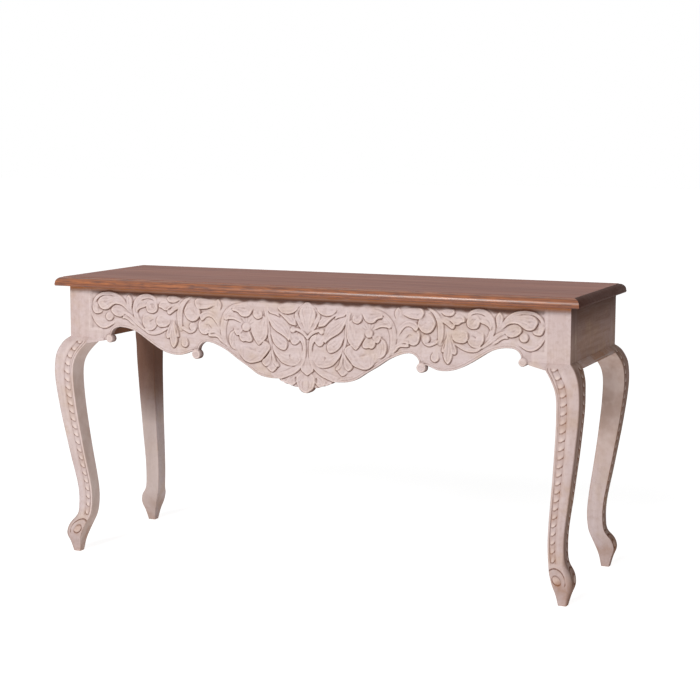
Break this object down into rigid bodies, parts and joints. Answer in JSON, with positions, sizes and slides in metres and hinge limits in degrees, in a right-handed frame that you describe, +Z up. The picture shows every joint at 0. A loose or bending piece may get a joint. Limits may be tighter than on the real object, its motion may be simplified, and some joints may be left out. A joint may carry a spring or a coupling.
{
  "type": "console table",
  "caption": "Long narrow console table: stained plank top with a moulded edge, on a whitewashed base with a carved scalloped apron, flared side mouldings and cabriole legs with scroll feet.",
  "frame": {"origin": "on the floor, under the middle of the table's length and of its greatest depth", "axes": "+X along the length to the right seen from the carved front, +Y from the front to the back, +Z up"},
  "size_m": [1.504, 0.515, 0.78],
  "materials": {
    "stained_top": "brown stain with open grain, satin, lighter orange-brown on the moulded edge",
    "whitewashed_wood": "thin pinkish white wash over carved wood, brown showing in recesses and on worn edges, matt",
    "raw_wood": "sawn and planed, unfinished",
    "dowel_wood": "turned or planed, unfinished",
    "screw_steel": "zinc plated"
  },
  "bodies": {
    "root": {"back_apron": "whitewashed_wood", "back_left_corner_brace": "raw_wood", "back_left_knee_bracket": "whitewashed_wood", "back_left_leg": "whitewashed_wood", "back_right_corner_brace": "raw_wood", "back_right_knee_bracket": "whitewashed_wood", "back_right_leg": "whitewashed_wood", "bracket_dowels": "dowel_wood", "corner_brace_screws": "screw_steel", "front_apron": "whitewashed_wood", "front_left_corner_brace": "raw_wood", "front_left_knee_bracket": "whitewashed_wood", "front_left_leg": "whitewashed_wood", "front_right_corner_brace": "raw_wood", "front_right_knee_bracket": "whitewashed_wood", "front_right_leg": "whitewashed_wood", "left_side_apron": "whitewashed_wood", "left_side_moulding": "whitewashed_wood", "middle_bearer": "raw_wood", "middle_bearer_screws": "screw_steel", "moulding_dowels": "dowel_wood", "right_side_apron": "whitewashed_wood", "right_side_moulding": "whitewashed_wood", "top_board_1": "stained_top", "top_board_2": "stained_top", "top_board_3": "stained_top", "top_board_4": "stained_top", "top_button_back_1": "raw_wood", "top_button_back_2": "raw_wood", "top_button_back_3": "raw_wood", "top_button_back_4": "raw_wood", "top_button_front_1": "raw_wood", "top_button_front_2": "raw_wood", "top_button_front_3": "raw_wood", "top_button_front_4": "raw_wood", "top_button_left": "raw_wood", "top_button_right": "raw_wood", "top_button_screws": "screw_steel", "top_loose_tongues": "dowel_wood"}
  },
  "joints": []
}
